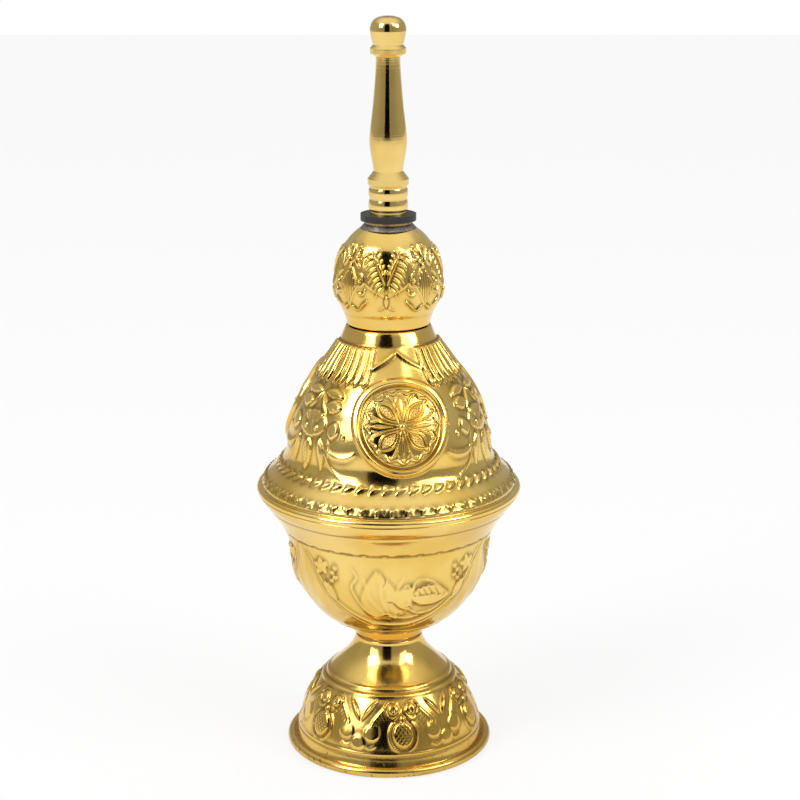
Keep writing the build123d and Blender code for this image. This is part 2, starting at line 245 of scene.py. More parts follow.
def sheetPiece(name, skin, inner, floor=None):
    # the embossed outside, closed by a plain inside
    ends = smooth(np.minimum(skin.run, skin.run[-1] - skin.run) / 1.0)
    relief = skin.relief * ends
    outer = skin.line[:, None, :] + skin.way[:, None, :] * relief[..., None]
    if floor is not None:
        outer[..., 1] = np.maximum(outer[..., 1], floor)
    back = np.broadcast_to(inner[:, None, :], (len(inner), relief.shape[1], 2))
    rows = np.concatenate([outer, back])
    points = spin(rows, skin.azimuth).reshape(-1, 3)
    # painted shade for the hollows of the embossed outside; the plain inside gets none
    patina = np.concatenate([hollows(relief), np.zeros((len(inner), relief.shape[1]))]).ravel()
    piece = meshPiece(name, points, gridQuads(len(rows), relief.shape[1], True), patina)
    print(name, "made,", len(piece.data.polygons), "faces")
    return piece


def inwards(line, thickness, step):
    # the sheet's inside, read back from top to bottom
    spaced = evenly(line, step)
    return (spaced - outwards(spaced) * thickness)[::-1]


# Shader helpers

class Wire:
    # one node socket that takes part in ordinary sums
    def __init__(self, tree, socket):
        self.tree, self.socket = tree, socket

    def calc(self, operation, first, second):
        node = self.tree.nodes.new("ShaderNodeMath")
        node.operation = operation
        for place, value in enumerate((first, second)):
            connect(self.tree, value, node.inputs[place])
        return Wire(self.tree, node.outputs[0])

    def __add__(self, other):
        return self.calc("ADD", self, other)

    def __radd__(self, other):
        return self.calc("ADD", other, self)

    def __sub__(self, other):
        return self.calc("SUBTRACT", self, other)

    def __rsub__(self, other):
        return self.calc("SUBTRACT", other, self)

    def __mul__(self, other):
        return self.calc("MULTIPLY", self, other)

    def __rmul__(self, other):
        return self.calc("MULTIPLY", other, self)

    def __truediv__(self, other):
        return self.calc("DIVIDE", self, other)

    def __rtruediv__(self, other):
        return self.calc("DIVIDE", other, self)

    def __lt__(self, other):
        return self.calc("LESS_THAN", self, other)


def connect(tree, value, socket):
    if isinstance(value, Wire):
        tree.links.new(value.socket, socket)
    else:
        socket.default_value = value


class Bench:
    # a node tree with one way to add any node
    def __init__(self, tree):
        self.tree = tree
        tree.nodes.clear()

    def add(self, kind, settings=None, sockets=None, output=0):
        node = self.tree.nodes.new(kind)
        for name, value in (settings or {}).items():
            if name == "stops":
                ramp = node.color_ramp
                while len(ramp.elements) < len(value):
                    ramp.elements.new(0.5)
                for element, (place, colour) in zip(ramp.elements, value):
                    element.position, element.color = place, colour
            else:
                setattr(node, name, value)
        for name, value in (sockets or {}).items():
            connect(self.tree, value, node.inputs[name])
        return Wire(self.tree, node.outputs[output]) if len(node.outputs) else None

    def mixColour(self, factor, first, second):
        return self.add("ShaderNodeMix", {"data_type": "RGBA"}, {0: factor, 6: first, 7: second}, 2)

    def fade(self, value, low, high):
        return self.add("ShaderNodeMapRange", {"interpolation_type": "SMOOTHSTEP"},
                        {"Value": value, "From Min": low, "From Max": high})

    def noise(self, where, scale, detail=2.0, roughness=0.5):
        return self.add("ShaderNodeTexNoise", None,
                        {"Vector": where, "Scale": scale, "Detail": detail, "Roughness": roughness})


def newMaterial(name):
    material = bpy.data.materials.new(name)
    material.use_nodes = True
    return material, Bench(material.node_tree)


def finishMaterial(bench, sockets, bumps=()):
    # bumps: (height wire, distance in metres, strength)
    normal = None
    for height, distance, strength in bumps:
        bumpSockets = {"Height": height, "Distance": distance, "Strength": strength}
        if normal is not None:
            bumpSockets["Normal"] = normal
        normal = bench.add("ShaderNodeBump", None, bumpSockets)
    if normal is not None:
        sockets = {**sockets, "Normal": normal}
    shader = bench.add("ShaderNodeBsdfPrincipled", None, sockets)
    bench.add("ShaderNodeOutputMaterial", None, {"Surface": shader})


def dress(piece, material):
    piece.data.materials.clear()
    piece.data.materials.append(material)


def goldMaterial(name, look):
    material, bench = newMaterial(name)
    where = bench.add("ShaderNodeTexCoord", output=3)
    parts = bench.add("ShaderNodeSeparateXYZ", None, {"Vector": where})
    height = Wire(bench.tree, parts.socket.node.outputs[2])
    broad = bench.noise(where, look["cloud"], 3.0)
    fine = bench.noise(where, look["grain"], 2.0)
    # painted shade: the gold turns brown where the attribute marks the relief lower than what is round it
    hollowShade = bench.add("ShaderNodeAttribute", {"attribute_name": "patina"}, output=2)
    specks = bench.fade(bench.noise(where, 620.0, 3.0), 0.60, 0.70)
    darkening = hollowShade * look["hollowShade"]
    # darker towards the bottom: the lowest few millimetres turn brown, evenly and in specks
    if look["bottomDarkening"]:
        low = bench.fade(height, 0.0075, 0.0015)
        darkening = darkening + low * (0.25 + 0.9 * specks) * look["bottomDarkening"]
    darkening = bench.add("ShaderNodeClamp", None, {"Value": darkening})
    colour = bench.mixColour(bench.fade(broad, 0.35, 0.65), look["pale"], look["deep"])
    # the brown mixed in here is painted shade in the hollows, together with the darkening near the floor
    colour = bench.mixColour(darkening, colour, look["brown"])
    roughness = look["roughness"] + (fine - 0.5) * look["roughSpread"] + darkening * 0.28
    bumps = [(fine, 0.0001, look["grainDepth"])]
    if look["turning"]:
        rings = bench.add("ShaderNodeTexNoise", {"noise_dimensions": "1D"},
                          {"W": height, "Scale": 2600.0, "Detail": 3.0})
        bumps.append((rings, 0.0001, look["turning"]))
    finishMaterial(bench, {"Base Color": colour, "Metallic": 1.0, "Roughness": roughness}, bumps)
    return material


gilding = {
    "pale": (0.93, 0.67, 0.21, 1), "deep": (0.84, 0.55, 0.12, 1), "brown": (0.15, 0.065, 0.008, 1),
    "cloud": 38.0, "grain": 900.0, "roughness": 0.13, "roughSpread": 0.10, "grainDepth": 0.10,
    "hollowShade": 0.75, "bottomDarkening": 0.0, "turning": 0.0,
}
sheetGold = goldMaterial("gilt_sheet", gilding)
footGold = goldMaterial("gilt_foot", {
    **gilding, "pale": (0.87, 0.59, 0.16, 1), "deep": (0.70, 0.43, 0.08, 1), "bottomDarkening": 0.8})
turnedGold = goldMaterial("gilt_turned", {
    **gilding, "pale": (0.90, 0.66, 0.23, 1), "deep": (0.80, 0.56, 0.17, 1),
    "roughness": 0.10, "roughSpread": 0.05, "grainDepth": 0.04, "turning": 0.12})
print("gold finishes made")


# Foot

foot = {
    "rimRadius": 36.1, "beadRadius": 1.7, "beadHeight": 1.61, "curlEnd": 118, "sheet": 0.7,
    "wall": [(33.0, 3.3), (32.1, 7.0), (29.1, 15.8), (23.2, 25.0), (17.4, 30.6), (13.7, 34.7), (11.7, 38.85)],
    "throat": (11.7, 39.9), "repeats": 6, "azimuth": 10.0, "level": 15.0, "columns": 640, "step": 0.52,
}


def makeFoot():
    beadCentre = (foot["rimRadius"] - foot["beadRadius"], foot["beadHeight"])
    curl = arcLine(beadCentre, foot["beadRadius"], -180, foot["curlEnd"])
    wall = smoothLine([(33.32, 2.5), *foot["wall"]], lastWay=(-0.3, 1))
    skin = Skin(np.concatenate([curl, wall, [foot["throat"]]]), foot["step"], foot["columns"])
    x, y, turn = skin.near(foot["azimuth"], foot["level"], 360 / foot["repeats"])
    half = 180 / foot["repeats"]
    ax = np.abs(x)
    mx = np.radians(half - np.abs(turn)) * skin.radius   # from the line between two repeats
    form = np.zeros(x.shape)

    # netted fruit with two buds
    fruit = disc(x, y, (-0.2, -1.8), 3.9, 4.8)
    net = np.abs(np.sin(2.1 * (x + 0.8 * y))) * np.abs(np.sin(2.1 * (x - 0.8 * y)))
    form = np.maximum(form, fruit * (0.62 + 0.30 * net))
    outline = np.abs(np.hypot((x + 0.2) / 4.9, (y + 2.0) / 5.7) - 1) * 5
    form = np.maximum(form, 0.45 * np.exp(-(outline / 0.35) ** 2) * (y < 2.5))
    for side in (-1, 1):
        form = np.maximum(form, pellet(x, y, (3.0 * side, 7.1), 2.0, 0.85))
        form -= 0.4 * disc(x, y, (3.1 * side, 6.6), 0.7, 1.0, 0.4)
    form = np.maximum(form, stroke(ax, y, bend((1.4, 9.2), (4.0, 9.6), (5.6, 7.6), (5.2, 4.6)), 0.7, 0.6))
    form = np.maximum(form, stroke(ax, y, bend((5.0, 4.4), (3.4, 3.6), (1.6, 4.8), (0.4, 6.8)), 0.7, 0.55))
    form = np.maximum(form, pellet(x, y, (0, 3.7), 1.0, 0.7))

    # strokes that fan out beside the fruit
    for i in range(7):
        a, b = 5.4 + 0.86 * i, 9.4 - 0.95 * i
        form += stroke(ax, y, bend((a - 1.0, b), (a + 0.4, b - 2.4), (a - 0.6, b - 5.2)), 0.75, 0.26)

    # smooth blades that meet in a V between two fruits
    blade = skin.run - skin.runAt(20.5) + 0 * turn
    form = np.maximum(form, leaf(mx, blade, (0.2, -3.8), (5.2, 4.4), 2.0, 0.8, sag=0.25, belly=0.5, rib=0.1))
    form -= 0.2 * leaf(mx, blade, (0.0, -4.8), (3.4, 3.8), 0.9, 1.0, sag=1.5)

    # three-lobed leaf under each V
    for lobe, size in (((0, -4.9), 2.4), ((4.7, -1.3), 2.6)):
        off = np.hypot(mx - lobe[0], y - lobe[1])
        form = np.maximum(form, 0.30 * smooth((size - off) / 0.5))
        form += 0.2 * np.exp(-((off - size) / 0.28) ** 2)
    form += stroke(mx, y, bend((2.6, -5.6), (4.6, -6.4), (6.6, -5.2)), 0.6, 0.35)

    form *= skin.between(7.6, 24.3, 1.0)
    form += ridgeAt(skin.run, skin.runAt(7.0), 0.9, 0.32) - ridgeAt(skin.run, skin.runAt(6.2), 0.7, 0.15)
    for level, height in ((24.8, 0.42), (26.7, 0.42), (25.75, -0.12)):
        form += ridgeAt(skin.run, skin.runAt(level), 0.8, height)
    skin.relief = form + unevenness(skin.azimuth, skin.run, 3, 0.018)

    inside = inwards(np.concatenate([wall[8:], [foot["throat"]]]), foot["sheet"], 2.5)
    piece = sheetPiece("foot_embossed", skin, inside, floor=0.0)
    dress(piece, footGold)
    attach(piece, "vessel")
    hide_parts("foot_shell")
    return piece


# Bowl

bowl = {
    "base": 38.9, "height": 54.2, "sheet": 0.7, "hole": 3.0,
    "wall": [(8.0, 0), (15.0, 5.0), (22.6, 10.0), (29.5, 18.2), (33.5, 27.2), (34.8, 36.0), (38.4, 45.0),
             (42.2, 50.0), (45.1, 54.2)],
    "repeats": 3, "azimuth": 4.0, "level": 66.0, "columns": 640, "step": 0.58,
}


def makeBowl():
    line = smoothLine([(r, h + bowl["base"]) for r, h in bowl["wall"]], firstWay=(1, 0), lastWay=(0.4, 1))
    skin = Skin(np.concatenate([[(bowl["hole"], bowl["base"])], line]), bowl["step"], bowl["columns"])
    x, y, turn = skin.near(bowl["azimuth"], bowl["level"], 360 / bowl["repeats"])
    form = np.zeros(x.shape)

    # ground of the big shield-shaped panel, between its border and the wavy line under the rim
    border = -15.2 + 30.5 * (np.abs(turn) / 57) ** 2.4
    inPanel = smooth((y - border - 1.0) / 0.8) * smooth((57 - np.abs(turn)) / 1.5)
    form += inPanel * (stipple(x, y, 1.15, 0.09) - 0.10)
    form += 0.42 * np.exp(-((y - border) / 0.75) ** 2) * (np.abs(turn) < 58)
    form += 0.30 * np.exp(-((y - border + 2.3) / 0.6) ** 2) * (np.abs(turn) < 58)

    def put(shape):
        return np.maximum(form, shape)

    # large smooth leaf with a ribbon at its foot
    big = np.maximum(leafSpace(x, y, (-1.0, -12.5), (-6.5, 9.5), 15.5, sag=1.5, belly=0.4)[0],
                     leafSpace(x, y, (-9.0, -9.5), (7.0, 4.0), 12.0, sag=-2.0)[0])
    form = put(0.46 * smooth(big / 2.6))
    for root, tip in (((-3.0, -9.0), (-11.0, 6.0)), ((-2.0, -8.0), (-5.0, 9.0)), ((-1.0, -7.0), (3.0, 6.5))):
        middle = ((root[0] + tip[0]) / 2 - 1.2, (root[1] + tip[1]) / 2)
        form += stroke(x, y, bend(root, middle, tip), 1.3, 0.14)
    outline = bend((-15.5, 9.5), (-13.2, 6.0), (-15.0, 2.4), (-13.0, -2.4), (-9.0, -8.0), (-4.6, -11.6))
    form += stroke(x, y, outline, 0.7, 0.45)
    form -= stroke(x, y, bend((-11.0, 10.5), (-5.2, 9.4), (-3.4, 5.6), (-4.2, 3.2)), 0.6, 0.28)
    form -= stroke(x, y, bend((-3.0, -2.6), (-0.8, -3.2), (1.6, -6.2), (5.5, -8.6)), 0.7, 0.35)
    form += stroke(x, y, bend((-4.8, -9.4), (-2.4, -8.2), (0.4, -10.6), (5.0, -11.0), (10.5, -9.6)), 0.9, 0.5)

    # veined leaf to the right
    form = put(leaf(x, y, (5.2, -1.2), (20.0, -2.6), 9.5, 0.55, sag=0.6, belly=0.4, edge=1.2))
    veined, _, side = leafSpace(x, y, (5.2, -1.2), (20.0, -2.6), 9.5, 0.6, 0.4)
    cuts = np.cos(2 * np.pi * (x + 0.55 * y) / 2.1)
    form -= 0.28 * smooth((veined - 0.7) / 0.6) * smooth((cuts - 0.55) / 0.4) * (side > 0.5)
    form -= stroke(x, y, bend((6.0, -1.0), (12.0, -0.4), (18.5, -2.2)), 0.5, 0.3)
    form += stroke(x, y, bend((4.0, -6.2), (7.6, -8.9), (13.0, -8.2), (19.0, -3.6)), 0.75, 0.5)
    form += stroke(x, y, bend((5.0, 1.6), (8.0, 5.0), (12.6, 4.2), (19.4, -1.8)), 0.6, 0.35)
    for curl in (((2.6, 2.4), (4.2, 3.4), (5.3, 2.2), (4.4, 1.0)),
                 ((2.8, -5.2), (4.6, -4.2), (5.6, -5.6), (4.4, -6.6))):
        form += stroke(x, y, bend(*curl), 0.6, 0.42)

    # blossoms and berries in the upper corners of the panel
    for middle in (-27.0, 27.5):
        for petal in range(5):
            angle = 2 * math.pi * petal / 5 + 0.5
            tip = (middle + 3.6 * math.cos(angle), 8.0 + 3.6 * math.sin(angle))
            form = put(leaf(x, y, (middle, 8.0), tip, 2.6, 0.55, rib=-0.15, edge=0.6))
        form = put(pellet(x, y, (middle, 8.0), 1.1, 0.8))
        reach = 1 if middle < 0 else -1
        for dx, dy in ((4.6, -1.4), (5.8, 0.4), (6.0, -3.0), (4.4, -4.4)):
            form = put(pellet(x, y, (middle + reach * dx, 8.0 + dy), 1.0, 0.6))
        root, tip = (middle + reach * 1.0, 3.6), (middle + reach * 7.0, -5.4)
        form = put(leaf(x, y, root, tip, 3.8, 0.5, rib=0.15, veins=0.05))

    # smooth oblique flutes between two panels
    shoulder = smooth((border - 3.2 - y) / 1.0) * smooth((y + 12) / 4)
    away = np.abs(turn) - 60
    for lag in (0.0, 7.5, 15.0):
        track = away * 0.5 + lag + 0.16 * (y - 14)
        form += 0.34 * shoulder * np.exp(-(track / 1.7) ** 2)
    form *= skin.between(49.5, 80.0, 1.2)

    # lines turned in the rim and the wavy edge under it
    wave = 0.16 * np.sin(np.radians(skin.azimuth) * 36) + 0.1 * np.sin(np.radians(skin.azimuth) * 61)
    overWave = skin.run - skin.runAt(80.4) + wave
    form -= 0.36 * np.exp(-(overWave / 0.45) ** 2)
    form += 0.18 * smooth(overWave / 0.5) * (1 - smooth((skin.run - skin.runAt(88.0)) / 0.5))
    form -= 0.20 * np.exp(-((skin.run - skin.runAt(88.2)) / 0.4) ** 2)
    form += ridgeAt(skin.run, skin.runAt(47.4) + 0.35 * np.sin(np.radians(skin.azimuth) * 13), 1.1, 0.28)
    skin.relief = form + unevenness(skin.azimuth, skin.run, 5, 0.022) * skin.between(41, 93, 3)

    piece = sheetPiece("bowl_embossed", skin, inwards(skin.line, bowl["sheet"], 5.0))
    dress(piece, sheetGold)
    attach(piece, "vessel")
    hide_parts("bowl_shell")
    return piece


# Dome with its flange

dome = {
    "base": 93.15, "rimRadius": 45.6, "beadRadius": 1.2, "curlEnd": 112, "sheet": 0.7,
    "wall": [(43.3, 4.2), (40.0, 7.9), (37.0, 11.2), (35.3, 14.6), (34.6, 20.0), (32.6, 27.8), (28.6, 36.2),
             (22.6, 44.9), (16.0, 54.2)],
    "top": (14.2, 58.3), "columns": 660, "step": 0.56,
    "medallions": 3, "azimuth": 8.5, "level": 123.75, "borderCount": 54,
}
domeWall = smoothLine([(43.72, dome["base"] + 2.5)] + [(r, h + dome["base"]) for r, h in dome["wall"]])


def makeDome():
    beadCentre = (dome["rimRadius"] - dome["beadRadius"], dome["base"] + dome["beadRadius"])
    curl = arcLine(beadCentre, dome["beadRadius"], -180, dome["curlEnd"])
    top = (dome["top"][0], dome["top"][1] + dome["base"])
    skin = Skin(np.concatenate([curl, domeWall, [top]]), dome["step"], dome["columns"])
    period = 360 / dome["medallions"]
    x, y, turn = skin.near(dome["azimuth"], dome["level"], period)
    ax, aturn = np.abs(x), np.abs(turn)
    mx = np.radians(period / 2 - aturn) * skin.radius   # from the line between two medallions
    form = np.zeros(x.shape)
    away = np.hypot(x, y)

    def put(shape):
        return np.maximum(form, shape)

    # punched ground beside each medallion
    beside = smooth((away - 16.8) / 0.8) * smooth((mx - 7.0) / 2.0)
    ground = beside * smooth((12.0 - y) / 2) * smooth((y + 9.0) / 2)
    form += ground * (stipple(x, y, 1.05, 0.10) - 0.12)

    # fluted leaves under the plain band
    level = skin.height
    fall = (146.6 - level) / 11.6
    inner = 21.5 + 3.0 * fall
    across = (aturn - inner) / (60 - inner)
    sway = across + 0.05 * np.sin(3.0 * fall)
    flute = np.abs(np.sin(5 * np.pi * np.clip(sway, 0, 1)))
    leafEnd = smooth((0.78 + 0.26 * flute - fall) / 0.08)
    inFan = smooth(across / 0.04) * leafEnd * smooth((fall + 0.02) / 0.05)
    form = put(inFan * (0.26 + 0.50 * flute ** 0.6))
    form += 0.16 * inFan * np.abs(np.sin(10 * np.pi * np.clip(sway, 0, 1)))

    # pointed arch with a hatched field over the medallion
    arch = bend((0.0, 25.9), (2.4, 23.6), (5.2, 21.6), (8.6, 19.6))
    form += stroke(ax, y, arch, 1.0, 0.5, taper=0.1)
    under = smooth((25.2 - 0.75 * ax - y) / 0.6) * smooth((away - 17.2) / 0.6)
    under = under * (y > 0) * smooth((9.0 - ax) / 1.0)
    hatch = np.cos(2 * np.pi * (x + 0.5 * y) / 0.95)
    form += under * (0.10 * hatch - 0.12)

    # eye-shaped leaves over the blossoms
    form = put(leaf(ax, y, (10.2, 14.8), (17.6, 13.6), 2.4, 0.6, sag=0.4, rib=-0.25))

    # blossom on each side, built of smooth petals round a dark eye
    fx, fy = np.radians(aturn - 46) * skin.radius, skin.run - skin.runAt(dome["base"] + 32.3) + 0 * turn
    petals = [((-3.2, 6.2), (6.2, 7.6), 3.9, 0.7), ((-3.6, 3.0), (3.9, 3.4), 5.0, 0.0),
              ((-2.9, -1.6), (-1.6, -8.0), 5.4, 0.3), ((2.8, 0.4), (6.4, -3.4), 3.0, 0.2)]
    for root, tip, width, sag in petals:
        form = put(leaf(fx, fy, root, tip, width, 0.72, sag=sag, belly=0.5, edge=1.0))
        form -= 0.16 * np.exp(-(leafSpace(fx, fy, root, tip, width + 0.7, sag, 0.5)[0] / 0.28) ** 2)
    form -= 0.55 * disc(fx, fy, (0.4, -0.2), 1.1, 1.3, 0.6)
    form += stroke(fx, fy, bend((-0.9, 0.8), (0.4, 1.5), (1.8, 0.6)), 0.6, 0.4)
    form -= 0.5 * disc(fx, fy, (-6.0, -3.6), 0.55, 1.9, 0.4)
    form = put(pellet(fx, fy, (-6.0, -6.4), 0.7, 0.7))
    crescent = bend((0.2, -10.6), (-2.6, -12.8), (-6.2, -13.4), (-9.6, -12.6), (-11.4, -10.8))
    form = put(stroke(fx, fy, crescent, 2.3, 0.8, taper=1.0))

    # pendant between the blossoms: an oval with two pellets under a pair of pointed leaves
    py = skin.run - skin.runAt(dome["base"] + 26.7) + 0 * turn
    form = put(leaf(mx, py, (0.1, 14.0), (5.4, 5.8), 2.3, 0.6, sag=-0.5, rib=0.12))
    oval = np.hypot(mx / 6.4, (py - 2.4) / 4.4)
    form = put(0.42 * smooth((1 - oval) * 4.4 / 0.8))
    form += 0.22 * np.exp(-((oval - 0.93) * 4.4 / 0.35) ** 2)
    form += stroke(mx, py, bend((0.0, 6.6), (0.0, 3.2), (1.3, -0.6)), 0.5, 0.3)
    form = put(0.42 + pellet(mx, py, (2.6, 1.2), 0.85, 0.55)) * (oval < 1) + form * (oval >= 1)
    form = put(leaf(mx, py, (0.0, -2.2), (0.0, -13.8), 5.4, 0.55, rib=0.28, veins=0.10, belly=0.4))
    form = put(leaf(mx, py, (5.0, -1.9), (7.4, -12.9), 3.6, 0.52, sag=0.4, rib=0.22, veins=0.09, belly=0.4))
    form += stroke(mx, py, bend((7.6, -0.4), (9.6, -4.6), (9.6, -9.6)), 0.55, 0.3)

    # line that closes the plain field under each medallion, and the lines turned in it
    form += stroke(ax, y, bend((28.6, -9.0), (26.6, -13.4), (23.6, -16.8), (19.6, -19.4)), 0.7, 0.36)
    form -= stroke(ax, y, bend((27.6, -9.0), (25.6, -13.2), (22.6, -16.6), (18.6, -19.2)), 0.6, 0.16)
    for lag in range(6):
        form -= 0.03 * np.exp(-((y + 13.2 + 0.9 * lag) / 0.25) ** 2) * (aturn < 36 - 2.2 * lag)

    # the ornament keeps clear of the medallions, which lie over this skin
    seat = smooth((away - 16.3) / 0.7)
    form = form * seat - 0.65 * (1 - seat)
    form *= 1 - (1 - skin.between(105.2, 146.6, 0.7)) * (skin.run > skin.runAt(100))
    form *= skin.run > skin.runAt(100)

    # leafy rope where the dome meets the flange
    count = dome["borderCount"]
    bx, by, _ = skin.near(0, 103.6, 360 / count)
    rope = leaf(bx, by, (-2.1, -1.3), (2.2, 0.9), 2.0, 0.62, sag=0.35, edge=0.6)
    rope = np.maximum(rope, leaf(bx, by, (-1.4, 1.5), (1.3, -0.3), 1.3, 0.5, edge=0.5))
    form = np.maximum(form, rope)
    form -= ridgeAt(skin.run, skin.runAt(105.6), 0.6, 0.16)

    # row of small trefoils punched along the flange
    tx, ty, _ = skin.near(1.8, 98.1, 360 / count)
    trefoil = pellet(tx, ty, (0, 0.1), 0.75, 0.55)
    trefoil = np.maximum(trefoil, leaf(np.abs(tx), ty, (0.5, 0.3), (1.9, 1.5), 1.0, 0.5, edge=0.4))
    trefoil = np.maximum(trefoil, leaf(tx, ty, (0, -0.4), (0, -1.5), 1.0, 0.4, edge=0.4))
    form = np.maximum(form, trefoil)
    form -= 0.25 * np.exp(-(np.hypot(np.abs(tx) - 2.5, ty + 0.3) / 0.45) ** 2)
    form += ridgeAt(skin.run, skin.runAt(96.5), 0.7, 0.22) - ridgeAt(skin.run, skin.runAt(95.9), 0.5, 0.12)
    band = smooth((skin.run - skin.runAt(146.9)) / 0.6)
    form += 0.16 * band
    skin.relief = form + unevenness(skin.azimuth, skin.run, 8, 0.022) * skin.between(97, 150, 3)

    inside = inwards(np.concatenate([domeWall[8:], [top]]), dome["sheet"] + 0.5, 6.0)
    piece = sheetPiece("dome_embossed", skin, inside)
    dress(piece, sheetGold)
    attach(piece, "vessel")
    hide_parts("dome_shell")
    return piece


# Medallions

medallion = {"edge": 17.4, "rings": 118, "columns": 480, "relief": 1.2, "skirt": 1.3}


def medallionRelief(x, y):
    r, angle = np.hypot(x, y), np.arctan2(y, x)
    quarter = np.radians(fold(np.degrees(angle), 90))
    ux, uy = r * np.cos(quarter), np.abs(r * np.sin(quarter))        # along an arm
    between = np.radians(fold(np.degrees(angle) - 45, 90))
    vx, vy = r * np.cos(between), r * np.sin(between)                # along a petal
    form = 0.18 + 0.22 * np.clip(1 - (r / 12.8) ** 2, 0, 1)

    petal = leafSpace(vx, vy, (1.7, 0), (10.9, 0), 5.0, belly=0.55)[0]
    form = np.maximum(form, 0.30 + 0.62 * np.exp(-((petal - 0.35) / 0.34) ** 2))
    form = np.maximum(form, np.where(petal > 0.6, 0.34 + 0.42 * np.exp(-((petal - 1.25) / 0.24) ** 2), 0))
    net = np.abs(np.sin(4.4 * (vx + vy))) * np.abs(np.sin(4.4 * (vx - vy)))
    form += 0.30 * net * smooth((petal - 1.5) / 0.3)

    form = np.maximum(form, leaf(ux, uy, (0.6, 0), (10.2, 0), 1.7, 0.85, belly=0.7, rib=0.22, edge=0.5))
    wing = bend((1.6, 0.5), (5.0, 1.25), (8.6, 2.6), (10.6, 4.0))
    form = np.maximum(form, 0.3 + stroke(ux, uy, wing, 0.62, 0.55, taper=0.3))
    form = np.maximum(form, leaf(ux, uy, (7.4, 1.9), (10.6, 1.5), 1.1, 0.75, edge=0.4))

    lobes = np.cos(angle * 16)
    scallop = 11.75 + 0.45 * lobes
    form = np.maximum(form, 0.28 + 0.5 * np.exp(-((r - scallop) / 0.42) ** 2))
    sixteenth = np.radians(fold(np.degrees(angle), 22.5))
    form = np.maximum(form, pellet(r * np.cos(sixteenth), r * np.sin(sixteenth), (11.1, 0), 0.75, 0.85))
    form = np.maximum(form, pellet(x, y, (0, 0), 1.25, 1.15))

    form = np.where(r > 12.7, 0.05, form)
    form = np.maximum(form, 0.75 * np.exp(-((r - 13.15) / 0.36) ** 2))
    crest = smooth((17.1 - r) / 1.35) * smooth((r - 13.9) / 1.0)
    form = np.maximum(form, medallion["relief"] * crest ** 0.8)
    return form * smooth((17.3 - r) / 0.3)


def makeMedallion(number):
    skin = Skin(domeWall, 0.25, 8)
    r = np.linspace(0.02, medallion["edge"], medallion["rings"])[:, None]
    angle = np.linspace(0, 2 * math.pi, medallion["columns"], endpoint=False)[None, :]
    x, y = r * np.cos(angle), r * np.sin(angle)
    relief = medallionRelief(x, y)
    skirt = 3
    x, y = (np.concatenate([part, np.repeat(part[-1:], skirt, 0)]) for part in (x, y))
    drop = -medallion["skirt"] * np.arange(1, skirt + 1)[:, None] / skirt
    relief = np.concatenate([relief, np.broadcast_to(drop, (skirt, medallion["columns"]))])
    # painted shade in the medallion's hollows and round its edge, where it drops into its seat
    dark = hollows(relief, 5)
    back = 6
    shrink = np.linspace(1, 0.02, back + 1)[1:, None]
    x, y = (np.concatenate([part, part[-1:] * shrink]) for part in (x, y))
    relief = np.concatenate([relief, np.full((back, medallion["columns"]), -medallion["skirt"])])
    dark = np.concatenate([dark, np.zeros((back, medallion["columns"]))])

    run = np.clip(y + skin.runAt(dome["level"]), 0, skin.run[-1, 0])
    at = [np.interp(run, skin.run[:, 0], values) for values in (*skin.line.T, *skin.way.T)]
    line = np.stack([at[0] + at[2] * relief, at[1] + at[3] * relief], axis=-1)
    azimuth = dome["azimuth"] + number * 360 / dome["medallions"] + np.degrees(x / at[0])
    points = spin(line, azimuth).reshape(-1, 3)
    rows = len(line)
    quads = gridQuads(rows, medallion["columns"], False)[:, ::-1]
    piece = meshPiece(f"medallion_{number}", points, quads, dark.ravel())
    dress(piece, sheetGold)
    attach(piece, "vessel")
    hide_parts("dome_shell")
    return piece


# Neck bulb

bulb = {
    "base": 151.5, "sheet": 0.7,
    "wall": [(14.1, 0.5), (15.9, 5.6), (18.0, 12.2), (17.3, 19.5), (14.4, 27.8), (11.2, 31.5), (7.95, 33.4)],
    "foot": (13.0, 0.02), "repeats": 4, "azimuth": -2.0, "level": 171.0, "columns": 560, "step": 0.29,
}


